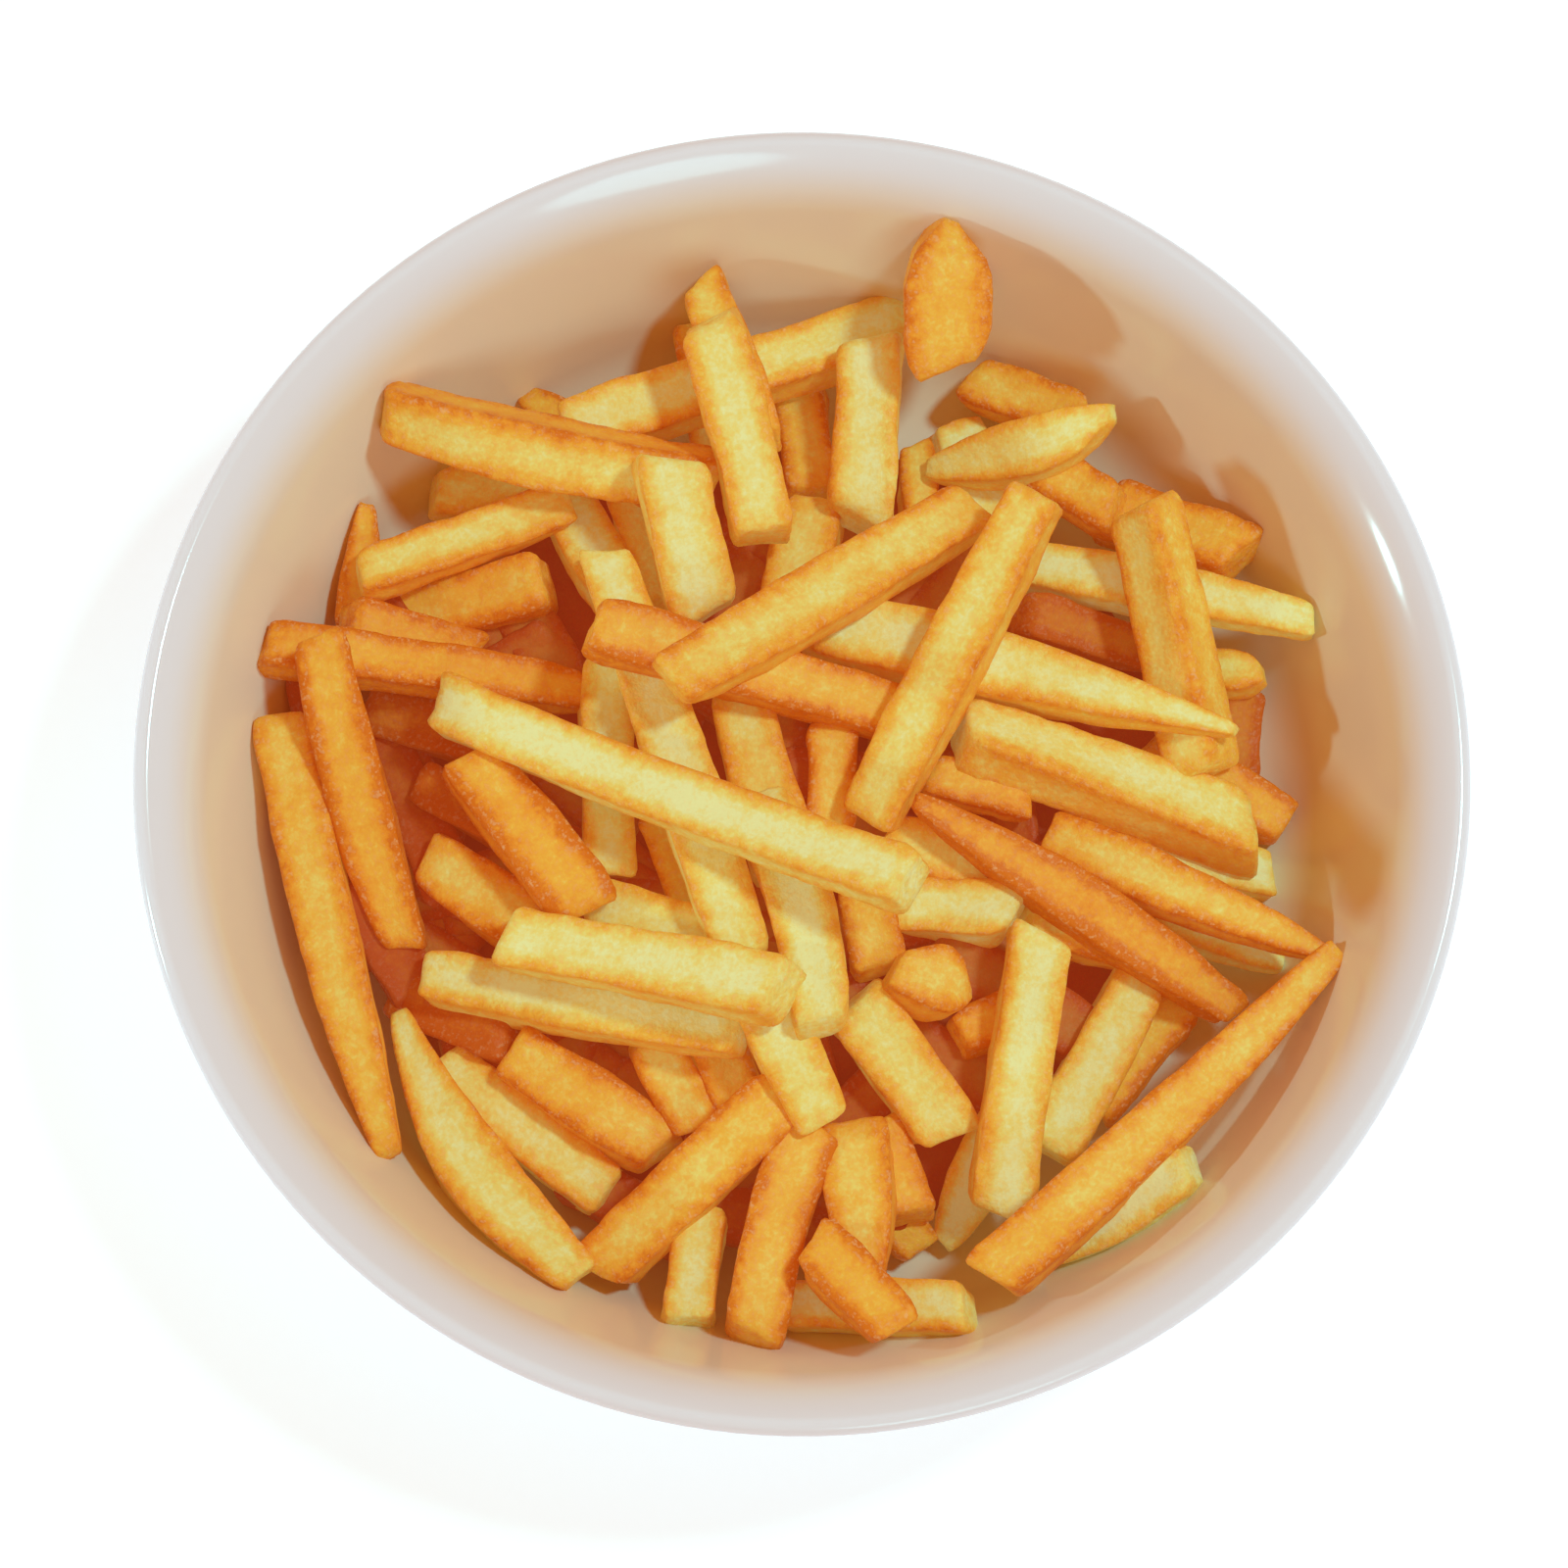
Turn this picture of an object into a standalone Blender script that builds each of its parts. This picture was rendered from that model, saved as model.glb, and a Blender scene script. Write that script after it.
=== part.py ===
"""A portion of french fries in a shallow white bowl.

Two solids: the turned ceramic bowl and the heap of fries, which is one solid out to its uneven outline.
The fries are laid one after another from the bottom up. Each comes to rest on the bowl, on the mound of
fries that nobody sees, or on those laid before it, and the heap is the union of them all.
The frame is the bowl's: +Z up, with the origin under its centre on the table. Lengths are in millimetres
until a mesh is made, which is in metres.
"""

import math
from collections import namedtuple

import bmesh
import bpy
import numpy as np
from mathutils import Vector

MM = 0.001

# The bowl's driving dimensions.
RIM_RADIUS = 100.0
BOWL_HEIGHT = 52.0
FLOOR_LEVEL = 9.0
COVE_RADIUS = 16.0
WALL_SLOPE = math.radians(68)
LIP_SLOPE = math.radians(34)
LIP_RADIUS = 20.0
EDGE_THICKNESS = 3.4
WALL_THICKNESS = 4.2
FOOT_RADIUS = 61.0
FOOT_WIDTH = 5.0
FOOT_BEVEL = 0.8
BOWL_SEGMENTS = 64

# The mound of hidden fries, its middle, and how flat its top is.
MOUND_RADIUS = 70.0
MOUND_HEIGHT = 15.0
MOUND_X = -4.0
MOUND_Y = -2.0
MOUND_POWER = 3.0
MOUND_SEGMENTS = 28

# The solid is filled this far down under each fry.
FILL_DEPTH = 36.0

# How thick a fry is for its width, the share of a fry that holds others up (they press into one
# another), the steepest that one lies, and the gap that the heap keeps to the bowl.
THICKNESS_SHARE = 0.94
CONTACT_WIDTH = 0.75
CONTACT_DEPTH = 0.78
STEEPEST = 0.35
GAP = 0.35

# The heap is laid out as it shows to someone who looks down on it from the front. An end is given where
# it shows against the level SIGHT_LEVEL, seen from a point above the middle of the rim.
SIGHT_LEVEL = 40.0
SIGHT_TILT = math.radians(13.1)
SIGHT_DISTANCE = 650.0

# The outline of each kind of fry: the shares of its width that draw it, from its first to its second end.
OUTLINES = {
    "baton": (0.92, 1.0, 1.0, 1.0, 0.92),
    "blunt": (0.9, 1.0, 1.05, 0.95, 0.7),
    "wedge": (0.9, 1.0, 1.05, 0.85, 0.4),
    "spike": (0.95, 1.05, 1.15, 0.8, 0.2),
    "spear": (0.3, 0.85, 1.15, 1.05, 0.65),
    "sliver": (0.35, 0.9, 1.2, 0.9, 0.35),
    "chunk": (0.8, 1.0, 1.3, 1.15, 0.2),
}

Fry = namedtuple("Fry", "kind x1 y1 x2 y2 width bow", defaults=(0.0,))

# The fries that show, from the lowest to the highest: their two ends, their width and how far they bow
# to the left of the way from the first end to the second.
HEAP = [
    # In the gaps, on the mound.
    Fry("baton", -1.5, 63.5, 1, 44.5, 9),
    Fry("baton", 17, 52.5, 17.5, 40.5, 6.5),
    Fry("baton", 20, 42.5, 38, 45.5, 8.0),
    Fry("baton", 33, 26.5, 53, 20.5, 8.0),
    Fry("baton", -22, -5.5, -14, -25.5, 7.0),
    Fry("baton", -66, 9.5, -46, 4.5, 9.0),
    Fry("baton", -58, -1.5, -44, -8.5, 8.0),
    Fry("baton", -60, -34.5, -42, -41.5, 9.0),
    Fry("baton", -57.5, 43.4, -38, 45.9, 9),
    Fry("baton", -27, 43.5, -22, 25.5, 8.0),
    Fry("baton", 34, -21.5, 53, -25.5, 9.0),
    Fry("baton", 24, -39.5, 39, -33.5, 8.5),
    Fry("baton", 19, 0.5, 34, -3, 7.5),
    Fry("baton", 66.5, 15.5, 65.5, 0.5, 8.0),
    Fry("wedge", 58, 17.5, 70.5, 17.5, 8.5),
    Fry("baton", 13, -63.5, 19, -71.5, 8.0),
    # The lower fries.
    Fry("baton", 46, 42.5, 67, 35, 10.5),
    Fry("wedge", -22, 44.5, -43.5, 60, 9),
    Fry("baton", -17.5, 71, -14, 48.5, 8.5),
    Fry("baton", -64, 23.5, -39.5, 30, 10.5),
    Fry("wedge", -68.5, 20.5, -67.5, 41.2, 6.8),
    Fry("baton", -70, 23.2, -50, 18, 9),
    Fry("baton", -37.5, 43.5, -28, 27, 9.5),
    Fry("baton", -30, 17.5, -28.5, -15.5, 9.0),
    Fry("baton", -9.7, 12.5, -2.2, -14.5, 11),
    Fry("baton", 4.5, 8.5, 4, -9.5, 8.5),
    Fry("baton", -56.5, -13, -38, -25.5, 10.5),
    Fry("baton", -31, -21, -13, -24.5, 9.5),
    Fry("baton", -53, -44.5, -27.5, -64, 9.5),
    Fry("baton", -23, -39.5, -14, -53.5, 9.0),
    Fry("baton", -13, -37.5, -8, -50.5, 9.5),
    Fry("baton", -13.5, -65.5, -15.5, -83, 8.5),
    Fry("baton", -1, -80, 26.5, -80.5, 8.5),
    Fry("wedge", 32, -51.5, 22, -70.5, 10.0),
    Fry("spear", 36, -72.5, 59, -58, 10.5),
    Fry("baton", 45, -49.5, 57, -35, 8.0),
    Fry("baton", 52, -9.5, 71, -14, 8.0),
    Fry("baton", 52, 5.5, 73.5, -6, 9.5),
    Fry("wedge", 54, -19.5, 73, -27.5, 7.0),
    Fry("baton", 13, -9.5, 35, -15.5, 9.0),
    Fry("baton", 10, -14.5, 12.5, -29.5, 9.5),
    Fry("baton", 12, -52.5, 17.5, -66.5, 8.5),
    Fry("baton", 2, 42.5, -3, 25.5, 10.5),
    # The middle fries.
    Fry("baton", -37.5, 54.5, 14, 71.5, 10.5),
    Fry("baton", -17, 79, -7.5, 53.5, 8.5),
    Fry("baton", -68.5, 30.3, -37, 42.7, 8.5),
    Fry("blunt", -82.5, 18.2, -33, 12.7, 8.5),
    Fry("wedge", -79.7, 8.2, -60.5, -58.5, 10.6, -1.2),
    Fry("blunt", -74.3, 20.7, -58.9, -27.5, 10, -1.0),
    Fry("baton", -31, 35, -8.2, -28.5, 10),
    Fry("blunt", 31, 34.3, 77.5, 25.1, 8.3),
    Fry("baton", 30, 53, 48, 42.5, 9.5),
    Fry("baton", -42.2, -43, -19.5, -57.5, 11),
    Fry("spear", -59.5, -37.5, -31.5, -76.5, 11.5, -4.0),
    Fry("baton", -55.7, -31.9, -8, -39, 9.5),
    Fry("baton", -6, -31.5, 3.5, -52, 10.5),
    Fry("chunk", 14, -29.5, 26, -33, 10.0),
    Fry("baton", 8.5, -34, 22.5, -54, 11.5),
    Fry("baton", 15.5, -19.5, 33, -20.5, 9.5),
    Fry("baton", 51.5, -29.5, 37.5, -56.5, 10.0),
    Fry("baton", 24, 7.5, 68.7, -8, 11.5),
    Fry("spike", 38, -8.7, 81, -26.2, 9),
    # The upper fries.
    Fry("baton", -65.5, 56.5, -14.5, 47, 10.5, -1.5),
    Fry("baton", 25.5, 63.5, 43.5, 59, 8.5),
    Fry("baton", 20, 52.6, 28.5, 57, 8.5),
    Fry("sliver", 19, 49.2, 47, 58.7, 10.5, -1.5),
    Fry("chunk", 22, 67.5, 22, 91, 14.0),
    Fry("baton", 9.5, 68.7, 8, 40, 11),
    Fry("baton", -21.5, 50.2, -15, 25, 12),
    Fry("baton", -15.5, 73, -6.5, 38, 10.6),
    Fry("baton", 52, 44.2, 61, 1.5, 10.5),
    Fry("baton", -32.5, 23.2, 16, 9.5, 10),
    Fry("baton", -44, -25.5, -2, -33, 10.5),
    Fry("baton", -6, -3.5, 3.5, -38.5, 10.5, 1.5),
    Fry("spike", 9, -54, 11.5, -79.5, 11.0),
    Fry("baton", 3, -71, 15.5, -83.5, 9.5),
    Fry("baton", 2.5, -52.5, -5.5, -85.5, 10.5, -1.0),
    Fry("baton", -29, -75.5, -2.5, -49, 11.0),
    Fry("wedge", 29.5, -75.5, 81, -25, 10.5, -1.0),
    Fry("spear", 17, -3, 65.5, -35, 9.5, 1.0),
    Fry("baton", 36.5, -23.5, 30.5, -66, 10.5),
    # The topmost fries.
    Fry("spike", 0, 24.5, 66, 8.5, 11.0),
    Fry("baton", -51, 2, -32, -21, 11.5),
    Fry("baton", -20.5, 14.5, 25.5, 43, 10.5),
    Fry("baton", 35.8, 45.5, 10.3, -6.5, 10),
    Fry("baton", -55.5, 11, 17, -16, 10, -0.8),
]


def arc(start, radius, first, last, steps):
    """(radius, level, slope) along an arc from start, which bends from one slope to another."""
    side = 1 if last > first else -1
    middle_r = start[0] - side * radius * math.sin(first)
    middle_z = start[1] + side * radius * math.cos(first)
    slopes = [first + (last - first) * i / steps for i in range(1, steps + 1)]
    return [
        (middle_r + side * radius * math.sin(slope), middle_z - side * radius * math.cos(slope), slope)
        for slope in slopes
    ]


def inner_profile():
    """(radius, level, slope) out over the bowl's floor, up its cove and wall, and over its flared lip."""
    lip_rise = LIP_RADIUS * (math.cos(LIP_SLOPE) - math.cos(WALL_SLOPE))
    lip_run = LIP_RADIUS * (math.sin(WALL_SLOPE) - math.sin(LIP_SLOPE))
    edge_rise = EDGE_THICKNESS / 2 * (1 - math.cos(LIP_SLOPE))
    edge_run = EDGE_THICKNESS / 2 * (1 + math.sin(LIP_SLOPE))
    cove_rise = COVE_RADIUS * (1 - math.cos(WALL_SLOPE))
    cove_run = COVE_RADIUS * math.sin(WALL_SLOPE)
    wall_rise = BOWL_HEIGHT - FLOOR_LEVEL - edge_rise - lip_rise - cove_rise
    wall_run = wall_rise / math.tan(WALL_SLOPE)
    floor_radius = RIM_RADIUS - edge_run - lip_run - wall_run - cove_run
    cove = arc((floor_radius, FLOOR_LEVEL), COVE_RADIUS, 0.0, WALL_SLOPE, 5)
    wall_top = (cove[-1][0] + wall_run, cove[-1][1] + wall_rise)
    lip = arc(wall_top, LIP_RADIUS, WALL_SLOPE, LIP_SLOPE, 3)
    floor = [(0.0, FLOOR_LEVEL, 0.0), (floor_radius, FLOOR_LEVEL, 0.0)]
    return [*floor, *cove, (*wall_top, WALL_SLOPE), *lip]


def bowl_profile():
    """(radius, level) round the bowl's whole section, from the middle of the floor to that of the foot."""
    inside = inner_profile()
    lip_r, lip_z, slope = inside[-1]
    half = EDGE_THICKNESS / 2
    edge_r, edge_z = lip_r + half * math.sin(slope), lip_z - half * math.cos(slope)
    turns = [slope + math.pi / 2 - math.pi * i / 6 for i in range(1, 6)]
    edge = [(edge_r + half * math.cos(turn), edge_z + half * math.sin(turn)) for turn in turns]
    outside = []
    for radius, level, slope in reversed(inside[1:]):
        thickness = np.interp(level, [FLOOR_LEVEL, lip_z], [WALL_THICKNESS, EDGE_THICKNESS])
        outside.append((radius + thickness * math.sin(slope), level - thickness * math.cos(slope)))
    underside = FLOOR_LEVEL - WALL_THICKNESS
    foot = [
        (FOOT_RADIUS + FOOT_BEVEL, underside),
        (FOOT_RADIUS, FOOT_BEVEL),
        (FOOT_RADIUS - FOOT_BEVEL, 0.0),
        (FOOT_RADIUS - FOOT_WIDTH, 0.0),
        (FOOT_RADIUS - FOOT_WIDTH - FOOT_BEVEL, underside),
        (0.0, underside),
    ]
    return [(radius, level) for radius, level, _ in inside] + edge + outside + foot


def fry_width(fry, share):
    """A fry's width at a share of its length, on a smooth curve drawn by the shares of its outline."""
    outline = OUTLINES[fry.kind]
    degree = len(outline) - 1
    return fry.width * sum(
        math.comb(degree, i) * share**i * (1 - share) ** (degree - i) * value for i, value in enumerate(outline)
    )


def sight_point(x, y, level):
    """The place at a level that shows at (x, y) on the sight level."""
    eye_y = -SIGHT_DISTANCE * math.sin(SIGHT_TILT)
    eye_level = BOWL_HEIGHT + SIGHT_DISTANCE * math.cos(SIGHT_TILT)
    share = (level - SIGHT_LEVEL) / (eye_level - SIGHT_LEVEL)
    return x - share * x, y + share * (eye_y - y)


def upper_hull(xs, ys):
    """The corners of a string pulled tight over the points, from the first to the last."""
    hull = []
    for x, y in zip(xs, ys):
        while len(hull) > 1:
            (x1, y1), (x2, y2) = hull[-2:]
            if (y2 - y1) * (x - x2) > (y - y2) * (x2 - x1):
                break
            hull.pop()
        hull.append((x, y))
    return hull


class Pile:
    """The tops of all that has been laid in the bowl so far, on a square grid a millimetre wide."""

    def __init__(self):
        self.reach = int(RIM_RADIUS) + 10
        axis = np.arange(-self.reach, self.reach + 1.0)
        self.x, self.y = np.meshgrid(axis, axis, indexing="ij")
        radii, levels, _ = zip(*inner_profile())
        spread = np.hypot(self.x - MOUND_X, self.y - MOUND_Y)
        self.tops = np.maximum(np.interp(np.hypot(self.x, self.y), radii, levels), mound_level(spread))

    def top(self, x, y):
        """The level of the pile's top at each place."""
        column = np.clip(np.rint(x).astype(int) + self.reach, 0, 2 * self.reach)
        row = np.clip(np.rint(y).astype(int) + self.reach, 0, 2 * self.reach)
        return self.tops[column, row]

    def resting_levels(self, fry, ends):
        """The levels of the axis at a fry's ends, once it lies on the pile on both sides of its middle."""
        shares = np.linspace(0.04, 0.96, 47)[:, None]
        offsets = np.linspace(-1.0, 1.0, 9)
        along = np.subtract(ends[1], ends[0])
        length = np.hypot(*along)
        half = fry_width(fry, shares) / 2
        side = offsets * half * CONTACT_WIDTH + 4.0 * fry.bow * shares * (1 - shares)
        x = ends[0][0] + shares * along[0] - side * along[1] / length
        y = ends[0][1] + shares * along[1] + side * along[0] / length
        swell = np.sqrt(1 - offsets**2) * half * THICKNESS_SHARE * CONTACT_DEPTH
        needed = (self.top(x, y) + swell).max(axis=1)
        hull = upper_hull(shares[:, 0], needed)
        (s1, l1), (s2, l2) = next(edge for edge in zip(hull, hull[1:]) if edge[1][0] >= 0.5)
        rise = np.clip((l2 - l1) / (s2 - s1), -STEEPEST * length, STEEPEST * length)
        foot = (needed - rise * shares[:, 0]).max()
        return foot, foot + rise

    def lay(self, fry):
        """Lay a fry on the pile and return the places of its two ends."""
        levels = (SIGHT_LEVEL, SIGHT_LEVEL)
        for _ in range(4):
            ends = sight_point(fry.x1, fry.y1, levels[0]), sight_point(fry.x2, fry.y2, levels[1])
            levels = self.resting_levels(fry, ends)
        start, end = (np.array([*place, level]) for place, level in zip(ends, levels))
        self.cover(fry, start, end)
        return start, end

    def cover(self, fry, start, end):
        """Raise the pile's tops to the back of a fry that lies from start to end."""
        along = (end - start)[:2]
        length = np.hypot(*along)
        share = ((self.x - start[0]) * along[0] + (self.y - start[1]) * along[1]) / length**2
        side = ((self.y - start[1]) * along[0] - (self.x - start[0]) * along[1]) / length
        side -= 4.0 * fry.bow * share * (1 - share)
        half = fry_width(fry, np.clip(share, 0.0, 1.0)) / 2
        hump = 1 - (side / (half * CONTACT_WIDTH)) ** 2
        level = start[2] + share * (end[2] - start[2])
        level += np.sqrt(np.maximum(hump, 0.0)) * half * THICKNESS_SHARE * CONTACT_DEPTH
        inside = (share > 0) & (share < 1) & (hump > 0)
        self.tops[inside] = np.maximum(self.tops[inside], level[inside])


def mound_level(spread):
    """The level of the hidden mound's top at a distance from its middle."""
    return FLOOR_LEVEL + MOUND_HEIGHT * (1 - np.minimum(spread / MOUND_RADIUS, 1.0) ** MOUND_POWER)


def fry_mesh(fry, start, end):
    """One straight-cut fry, tapered and bowed, that lies from start to end, with all that is under it."""
    mesh = bmesh.new()
    along = Vector(end - start)
    side = Vector((0, 0, 1)).cross(along).normalized()
    up = along.cross(side).normalized()
    stations = 3 if fry.kind == "baton" and not fry.bow else 5
    rings = []
    for share in np.linspace(0.0, 1.0, stations):
        width = side * float(fry_width(fry, share)) / 2
        depth = up * width.length * THICKNESS_SHARE
        middle = Vector(start) + along * share + side * 4.0 * fry.bow * share * (1 - share)
        under = depth + Vector((0.0, 0.0, FILL_DEPTH))
        corners = (-width - under, width - under, width + depth, depth - width)
        rings.append([mesh.verts.new((middle + corner) * MM) for corner in corners])
    for ring, following in zip(rings, rings[1:]):
        for i in range(4):
            mesh.faces.new((ring[i - 1], ring[i], following[i], following[i - 1]))
    mesh.faces.new(rings[0])
    mesh.faces.new(rings[-1])
    bmesh.ops.recalc_face_normals(mesh, faces=mesh.faces)
    return mesh


def turned_mesh(profile, segments):
    """The closed solid that a profile of (radius, level) sweeps round the Z axis."""
    mesh = bmesh.new()
    verts = [mesh.verts.new((radius * MM, 0.0, level * MM)) for radius, level in profile]
    edges = [mesh.edges.new(pair) for pair in zip(verts, verts[1:])]
    bmesh.ops.spin(
        mesh, geom=verts + edges, cent=(0, 0, 0), axis=(0, 0, 1), angle=2 * math.pi, steps=segments
    )
    bmesh.ops.remove_doubles(mesh, verts=mesh.verts, dist=1e-6)
    bmesh.ops.recalc_face_normals(mesh, faces=mesh.faces)
    return mesh


def add_piece(name, mesh):
    """An object in the scene that holds a mesh."""
    data = bpy.data.meshes.new(name)
    mesh.to_mesh(data)
    mesh.free()
    piece = bpy.data.objects.new(name, data)
    bpy.context.collection.objects.link(piece)
    return piece


def add_material(piece, colour, roughness):
    """Give a piece its own Principled material."""
    material = bpy.data.materials.new(piece.name)
    material.use_nodes = True
    shader = material.node_tree.nodes["Principled BSDF"]
    shader.inputs["Base Color"].default_value = (*colour, 1.0)
    shader.inputs["Roughness"].default_value = roughness
    shader.inputs["Metallic"].default_value = 0.0
    piece.data.materials.append(material)


def combine(piece, operation, other):
    """Join a piece with another solid, or keep what lies in both. The other is left out of the model."""
    other.hide_render = True
    other.display_type = "WIRE"
    step = piece.modifiers.new(other.name, "BOOLEAN")
    step.operation = operation
    step.solver = "EXACT"
    step.use_self = True
    step.object = other


def build_bowl():
    bowl = add_piece("bowl", turned_mesh(bowl_profile(), BOWL_SEGMENTS))
    add_material(bowl, (0.83, 0.83, 0.81), 0.12)
    bowl.data.shade_smooth()
    bowl.data.set_sharp_from_angle(angle=math.radians(35))


def build_mound():
    """The hidden fries, from just above the bowl's floor to the mound's top."""
    radii = [MOUND_RADIUS * share for share in (0.97, 0.9, 0.8, 0.65, 0.45, 0.25, 0.0)]
    bottom = FLOOR_LEVEL + GAP
    side = [(radius, float(mound_level(radius)) + GAP) for radius in radii]
    mound = add_piece("mound", turned_mesh([(0.0, bottom), (radii[0], bottom), *side], MOUND_SEGMENTS))
    mound.location = (MOUND_X * MM, MOUND_Y * MM, 0.0)
    return mound


def build_room():
    """The room inside the bowl, a gap away from it all round, up to a level above the heap."""
    inside = [(max(0.0, radius - GAP), level + GAP) for radius, level, _ in inner_profile()]
    ceiling = 2 * BOWL_HEIGHT
    profile = [*inside, (inside[-1][0], ceiling), (0.0, ceiling)]
    return add_piece("room", turned_mesh(profile, BOWL_SEGMENTS))


def build_heap():
    """The fries and the mound as one solid, cut to the room inside the bowl."""
    pile = Pile()
    fries = bmesh.new()
    for fry in HEAP:
        one = bpy.data.meshes.new("fry")
        fry_mesh(fry, *pile.lay(fry)).to_mesh(one)
        fries.from_mesh(one)
        bpy.data.meshes.remove(one)
    heap = add_piece("fries_heap", fries)
    combine(heap, "UNION", build_mound())
    combine(heap, "INTERSECT", build_room())
    keep_outer_shell(heap)
    add_material(heap, (0.80, 0.52, 0.17), 0.55)


def keep_outer_shell(piece):
    """Settle a piece's modifiers into its mesh and leave out the hollows that they sealed inside it."""
    settled = bmesh.new()
    settled.from_object(piece, bpy.context.evaluated_depsgraph_get())
    piece.modifiers.clear()
    shells = []
    waiting = set(settled.verts)
    while waiting:
        shell = [waiting.pop()]
        for vert in shell:
            near = {edge.other_vert(vert) for edge in vert.link_edges} & waiting
            waiting -= near
            shell.extend(near)
        shells.append(shell)
    shells.sort(key=len)
    for shell in shells[:-1]:
        bmesh.ops.delete(settled, geom=shell, context="VERTS")
    settled.to_mesh(piece.data)
    settled.free()


def main():
    for piece in list(bpy.data.objects):
        bpy.data.objects.remove(piece)
    build_bowl()
    build_heap()


main()
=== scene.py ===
"""Dress a portion of french fries in a white bowl: the glazed bowl, the fries that show, the fries below.

The fries are laid one after another by the rule of the solids, so each is drawn where its solid lies.
"""

import math
import random
from collections import namedtuple

import bmesh
import bpy
import numpy as np
from bpy.props import FloatProperty, FloatVectorProperty, IntProperty, PointerProperty
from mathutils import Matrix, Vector, noise


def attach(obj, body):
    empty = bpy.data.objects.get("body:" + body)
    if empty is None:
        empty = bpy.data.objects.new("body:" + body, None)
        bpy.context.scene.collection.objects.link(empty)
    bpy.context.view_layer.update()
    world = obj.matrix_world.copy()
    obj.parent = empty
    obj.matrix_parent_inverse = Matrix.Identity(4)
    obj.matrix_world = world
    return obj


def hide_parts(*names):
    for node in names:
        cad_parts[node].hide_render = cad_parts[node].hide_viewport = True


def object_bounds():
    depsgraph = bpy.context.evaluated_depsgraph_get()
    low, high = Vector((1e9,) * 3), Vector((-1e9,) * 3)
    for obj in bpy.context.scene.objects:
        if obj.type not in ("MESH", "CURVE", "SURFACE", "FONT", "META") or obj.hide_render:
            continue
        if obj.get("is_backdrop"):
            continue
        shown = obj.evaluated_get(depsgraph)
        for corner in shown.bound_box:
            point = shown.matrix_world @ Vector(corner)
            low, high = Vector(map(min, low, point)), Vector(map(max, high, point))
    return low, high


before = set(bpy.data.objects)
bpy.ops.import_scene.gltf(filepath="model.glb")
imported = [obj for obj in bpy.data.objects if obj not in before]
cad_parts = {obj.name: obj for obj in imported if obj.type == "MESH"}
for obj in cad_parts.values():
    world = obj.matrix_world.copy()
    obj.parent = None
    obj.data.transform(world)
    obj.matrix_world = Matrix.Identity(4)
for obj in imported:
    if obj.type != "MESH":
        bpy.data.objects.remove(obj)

bl_info = {
    "name": "French fries in a bowl",
    "version": (1, 0, 0),
    "blender": (4, 5, 0),
    "location": "3D View > Sidebar > Fries",
    "description": "Makes a bowl of french fries, fry by fry, and sets the stage for it",
    "category": "Object",
}

MM = 0.001
CAD_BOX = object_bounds()

# The bowl, as in the solids, in millimetres.
RIM_RADIUS = 100.0
BOWL_HEIGHT = 52.0
FLOOR_LEVEL = 9.0
COVE_RADIUS = 16.0
WALL_SLOPE = math.radians(68)
LIP_SLOPE = math.radians(34)
LIP_RADIUS = 20.0
EDGE_THICKNESS = 3.4
WALL_THICKNESS = 4.2
FOOT_RADIUS = 61.0
FOOT_WIDTH = 5.0
FOOT_BEVEL = 0.8

# The mound of hidden fries, its middle, and how flat its top is.
MOUND_RADIUS = 70.0
MOUND_HEIGHT = 15.0
MOUND_X = -4.0
MOUND_Y = -2.0
MOUND_POWER = 3.0

# How the fries lie on one another, as in the solids.
THICKNESS_SHARE = 0.94
CONTACT_WIDTH = 0.75
CONTACT_DEPTH = 0.78
STEEPEST = 0.35

# The heap is laid out as it shows to someone who looks down on it from the front. An end is given where
# it shows against the level SIGHT_LEVEL, seen from a point above the middle of the rim.
SIGHT_LEVEL = 40.0
SIGHT_TILT = math.radians(13.1)
SIGHT_DISTANCE = 650.0

# The outline of each kind of fry: the shares of its width that draw it, from its first to its second end.
OUTLINES = {
    "baton": (0.92, 1.0, 1.0, 1.0, 0.92),
    "blunt": (0.9, 1.0, 1.05, 0.95, 0.7),
    "wedge": (0.9, 1.0, 1.05, 0.85, 0.4),
    "spike": (0.95, 1.05, 1.15, 0.8, 0.2),
    "spear": (0.3, 0.85, 1.15, 1.05, 0.65),
    "sliver": (0.35, 0.9, 1.2, 0.9, 0.35),
    "chunk": (0.8, 1.0, 1.3, 1.15, 0.2),
}

Fry = namedtuple("Fry", "kind x1 y1 x2 y2 width tone bow roll", defaults=(0.0, 0.0))

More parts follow.
